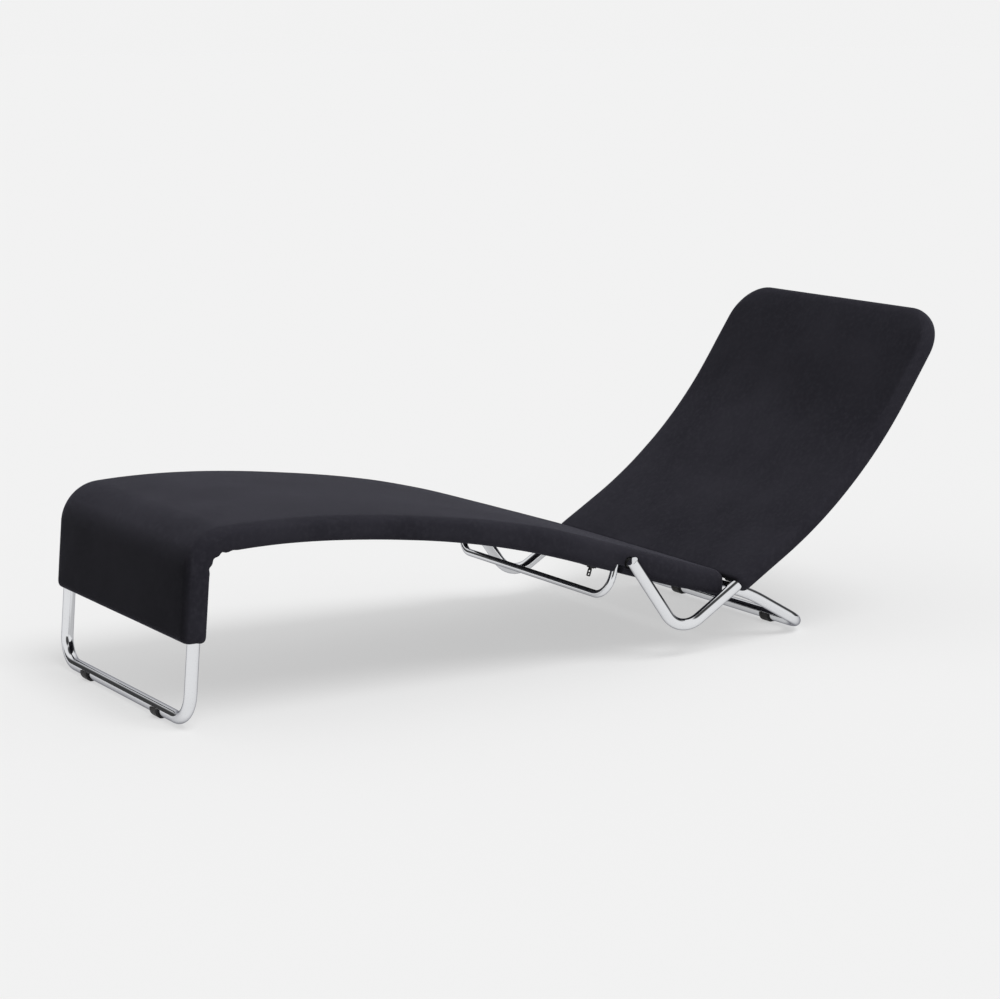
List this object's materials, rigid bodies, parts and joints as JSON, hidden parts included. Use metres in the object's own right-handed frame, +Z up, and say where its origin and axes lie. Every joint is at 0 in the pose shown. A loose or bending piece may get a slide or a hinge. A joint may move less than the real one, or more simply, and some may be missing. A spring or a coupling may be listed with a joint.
{
  "type": "chaise longue",
  "caption": "Chaise longue of bent chrome tube with padded black fabric sleeves: an arched seat on floor bars and a curved back that folds forward over it.",
  "frame": {"origin": "on the floor, at the middle of the length and the width", "axes": "+X from the foot end to the head end, +Y to the right of someone lying on it, +Z up"},
  "size_m": [1.6201, 0.608, 0.6044],
  "materials": {
    "chrome_tube": "polished chrome plate",
    "steel": "zinc plated steel",
    "black_rubber": "matt black rubber",
    "black_plastic": "matt black plastic",
    "webbing": "elastic upholstery webbing",
    "foam": "upholstery foam",
    "black_fabric": "matt black stretch fabric",
    "zip_tape": "black zip tape",
    "zip_metal": "black painted zip metal"
  },
  "bodies": {
    "seat": {"foot_loop": "chrome_tube", "rear_loop": "chrome_tube", "seat_rail_left": "chrome_tube", "seat_rail_right": "chrome_tube", "seat_spigots": "steel", "seat_stretcher": "chrome_tube", "foot_glides": "black_rubber", "rear_glides": "black_rubber", "seat_straps": "webbing", "seat_foam": "foam", "seat_cover": "black_fabric", "zip_tape": "zip_tape", "pivot_bushes": "black_plastic"},
    "back": {"back_rail_left": "chrome_tube", "back_rail_right": "chrome_tube", "head_loop": "chrome_tube", "back_spigots": "steel", "end_plugs": "chrome_tube", "pivot_bolts": "steel", "pivot_inserts": "steel", "stop_studs": "steel", "stop_sleeves": "black_rubber", "back_straps": "webbing", "back_foam": "foam", "back_cover": "black_fabric"},
    "slider": {"zip_slider": "zip_metal"},
    "pull": {"zip_pull": "zip_metal"}
  },
  "joints": [
    {"name": "back_fold", "type": "hinge", "parent": "seat", "child": "back", "pos_m": [0.08411, 0, 0.1875], "axis": [0, -1, 0], "range_deg": [0, 138]},
    {"name": "zip_slide", "type": "slide", "parent": "seat", "child": "slider", "axis": [0, 1, 0], "range_m": [0, 0.43]},
    {"name": "pull_swing", "type": "hinge", "parent": "slider", "child": "pull", "pos_m": [0.03668, -0.2155, 0.17095], "axis": [0.9511, 0, -0.309], "range_deg": [-85, 85]}
  ]
}
